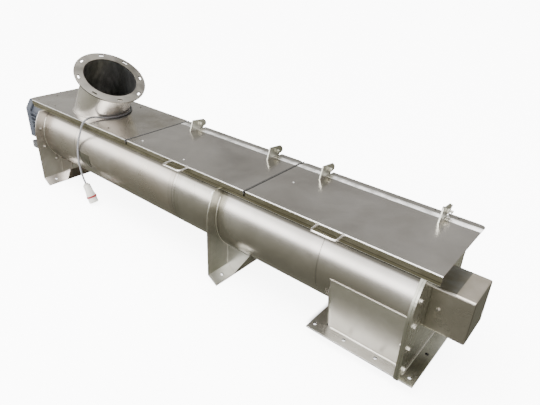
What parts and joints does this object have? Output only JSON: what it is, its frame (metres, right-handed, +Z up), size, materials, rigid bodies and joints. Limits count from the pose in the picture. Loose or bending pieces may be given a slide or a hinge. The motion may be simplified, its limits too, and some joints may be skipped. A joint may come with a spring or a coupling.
{
  "type": "inclined screw conveyor",
  "caption": "Stainless tubular screw conveyor with a leaning round inlet, hinged trough lids, sloped feet, an end gear motor and a square bottom discharge.",
  "frame": {"origin": "on the floor under the middle of the conveyor's length and width, cord left out", "axes": "+X from the drive to the discharge, +Y from the handles to the hinges, +Z up"},
  "size_m": [3.1716, 0.56, 0.8776],
  "materials": {
    "trough_tube": "rolled and bent stainless sheet, lightly brushed",
    "trough_flange_front": "rolled and bent stainless sheet, lightly brushed",
    "trough_flange_rear": "rolled and bent stainless sheet, lightly brushed",
    "inlet_support": "rolled and bent stainless sheet, lightly brushed",
    "mid_support": "rolled and bent stainless sheet, lightly brushed",
    "inlet_gusset_front": "rolled and bent stainless sheet, lightly brushed",
    "inlet_gusset_rear": "rolled and bent stainless sheet, lightly brushed",
    "mid_gusset_front": "rolled and bent stainless sheet, lightly brushed",
    "mid_gusset_rear": "rolled and bent stainless sheet, lightly brushed",
    "discharge_chute": "rolled and bent stainless sheet, lightly brushed",
    "discharge_frame": "rolled and bent stainless sheet, lightly brushed",
    "trough_end_flange": "rolled and bent stainless sheet, lightly brushed",
    "outlet_end_plate": "rolled and bent stainless sheet, lightly brushed",
    "shaft_guard": "rolled and bent stainless sheet, lightly brushed",
    "end_bearing": "machined casting",
    "nameplate": "bare plate, satin",
    "inlet_cover": "rolled and bent stainless sheet, lightly brushed",
    "inlet_spigot": "rolled and bent stainless sheet, lightly brushed",
    "inlet_collar": "rolled and bent stainless sheet, lightly brushed",
    "inlet_flange": "rolled and bent stainless sheet, lightly brushed",
    "screw_shaft": "rolled and bent stainless sheet, lightly brushed",
    "screw_flight": "rolled and bent stainless sheet, lightly brushed",
    "drive_plate": "rolled and bent stainless sheet, lightly brushed",
    "drive_lantern": "painted casting",
    "gearbox": "semi-gloss paint",
    "torque_stop": "matt black paint",
    "motor": "semi-gloss paint",
    "fan_cowl": "semi-gloss paint",
    "terminal_box": "semi-gloss paint",
    "cable_gland": "black plastic",
    "mains_cord": "grey sheath",
    "mains_plug": "off-white plastic",
    "plug_ring": "red plastic",
    "hinge_bracket_1": "rolled and bent stainless sheet, lightly brushed",
    "hinge_bracket_2": "rolled and bent stainless sheet, lightly brushed",
    "hinge_bracket_3": "rolled and bent stainless sheet, lightly brushed",
    "hinge_bracket_4": "rolled and bent stainless sheet, lightly brushed",
    "mid_lid": "rolled and bent stainless sheet, lightly brushed",
    "lid_lug_1": "rolled and bent stainless sheet, lightly brushed",
    "lid_lug_2": "rolled and bent stainless sheet, lightly brushed",
    "lid_handle_1": "rolled and bent stainless sheet, lightly brushed",
    "end_lid": "rolled and bent stainless sheet, lightly brushed",
    "lid_lug_3": "rolled and bent stainless sheet, lightly brushed",
    "lid_lug_4": "rolled and bent stainless sheet, lightly brushed",
    "lid_handle_2": "rolled and bent stainless sheet, lightly brushed"
  },
  "bodies": {
    "frame": {"trough_tube": "trough_tube", "trough_flange_front": "trough_flange_front", "trough_flange_rear": "trough_flange_rear", "inlet_support": "inlet_support", "mid_support": "mid_support", "inlet_gusset_front": "inlet_gusset_front", "inlet_gusset_rear": "inlet_gusset_rear", "mid_gusset_front": "mid_gusset_front", "mid_gusset_rear": "mid_gusset_rear", "discharge_chute": "discharge_chute", "discharge_frame": "discharge_frame", "trough_end_flange": "trough_end_flange", "outlet_end_plate": "outlet_end_plate", "shaft_guard": "shaft_guard", "end_bearing": "end_bearing", "nameplate": "nameplate", "inlet_cover": "inlet_cover", "inlet_spigot": "inlet_spigot", "inlet_collar": "inlet_collar", "inlet_flange": "inlet_flange", "screw_shaft": "screw_shaft", "screw_flight": "screw_flight", "drive_plate": "drive_plate", "drive_lantern": "drive_lantern", "gearbox": "gearbox", "torque_stop": "torque_stop", "motor": "motor", "fan_cowl": "fan_cowl", "terminal_box": "terminal_box", "cable_gland": "cable_gland", "mains_cord": "mains_cord", "mains_plug": "mains_plug", "plug_ring": "plug_ring", "hinge_bracket_1": "hinge_bracket_1", "hinge_bracket_2": "hinge_bracket_2", "hinge_bracket_3": "hinge_bracket_3", "hinge_bracket_4": "hinge_bracket_4"},
    "mid_lid": {"mid_lid": "mid_lid", "lid_lug_1": "lid_lug_1", "lid_lug_2": "lid_lug_2", "lid_handle_1": "lid_handle_1"},
    "end_lid": {"end_lid": "end_lid", "lid_lug_3": "lid_lug_3", "lid_lug_4": "lid_lug_4", "lid_handle_2": "lid_handle_2"}
  },
  "joints": [
    {"name": "mid_lid_hinge", "type": "hinge", "parent": "frame", "child": "mid_lid", "pos_m": [0.1392, 0.208, 0.57], "axis": [-1, 0, 0], "range_deg": [0, 100]},
    {"name": "end_lid_hinge", "type": "hinge", "parent": "frame", "child": "end_lid", "pos_m": [1.0257, 0.208, 0.57], "axis": [-1, 0, 0], "range_deg": [0, 100]}
  ]
}
